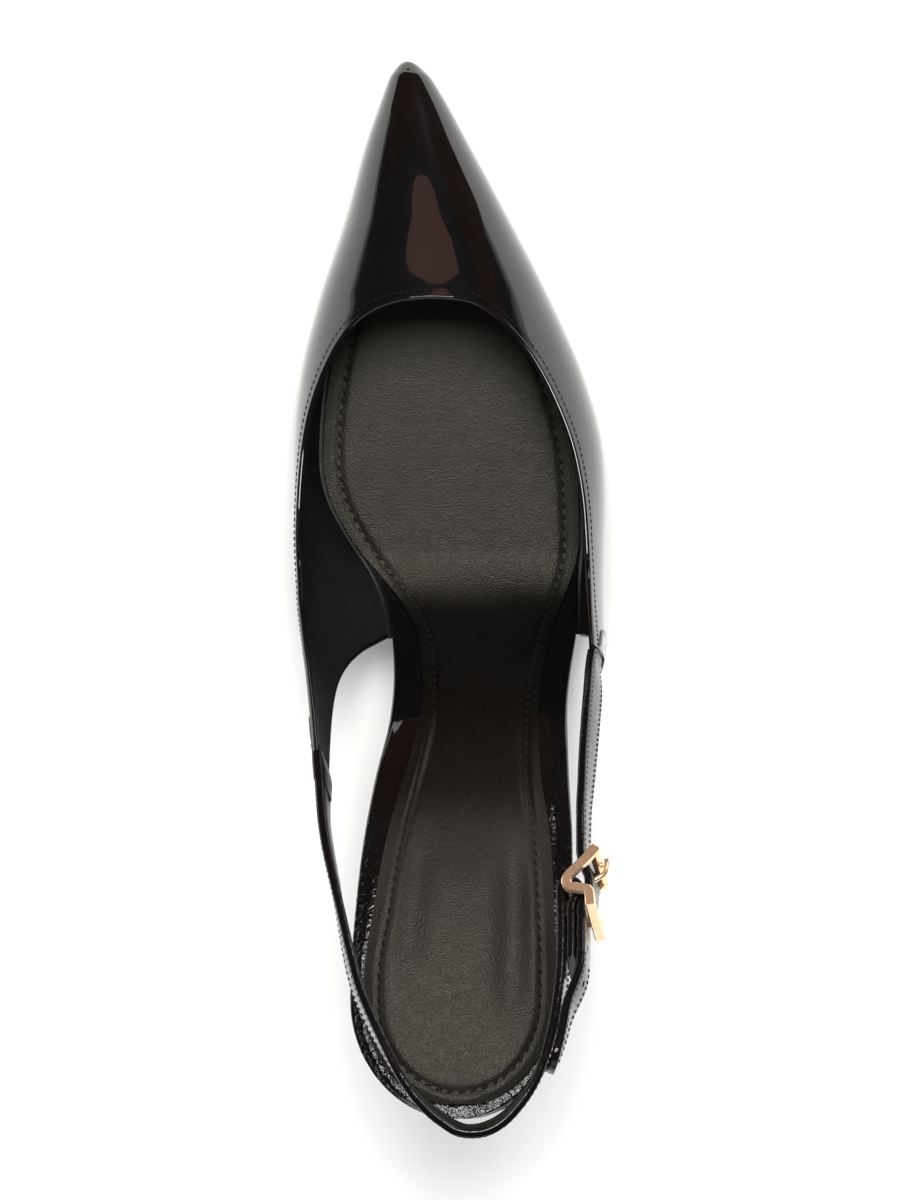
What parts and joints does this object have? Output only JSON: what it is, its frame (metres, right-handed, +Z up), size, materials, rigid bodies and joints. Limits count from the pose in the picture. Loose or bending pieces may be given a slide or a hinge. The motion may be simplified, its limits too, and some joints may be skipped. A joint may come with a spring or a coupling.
{
  "type": "slingback pump",
  "caption": "Right slingback pump in black patent leather: pointed toe, open waist, slim high heel and a heel strap with a small buckle.",
  "frame": {"origin": "middle of the flat forefoot tread, on the floor", "axes": "+Y to the toe, +X to the outer side of the foot, +Z up"},
  "size_m": [0.0756, 0.2498, 0.1377],
  "materials": {
    "patent_leather": "black patent, high gloss",
    "sole_leather": "dark smooth sole leather, satin",
    "sock_leather": "dark charcoal lining leather, matt",
    "tip_rubber": "black, matt",
    "gold_metal": "polished gold plate"
  },
  "bodies": {
    "root": {"outsole": "sole_leather", "insole_board": "patent_leather", "sock_lining": "sock_leather", "upper": "patent_leather", "heel": "patent_leather", "heel_tip": "tip_rubber", "sling_strap": "patent_leather", "buckle_strap": "patent_leather", "buckle_frame": "gold_metal", "buckle_prong": "gold_metal"}
  },
  "joints": []
}
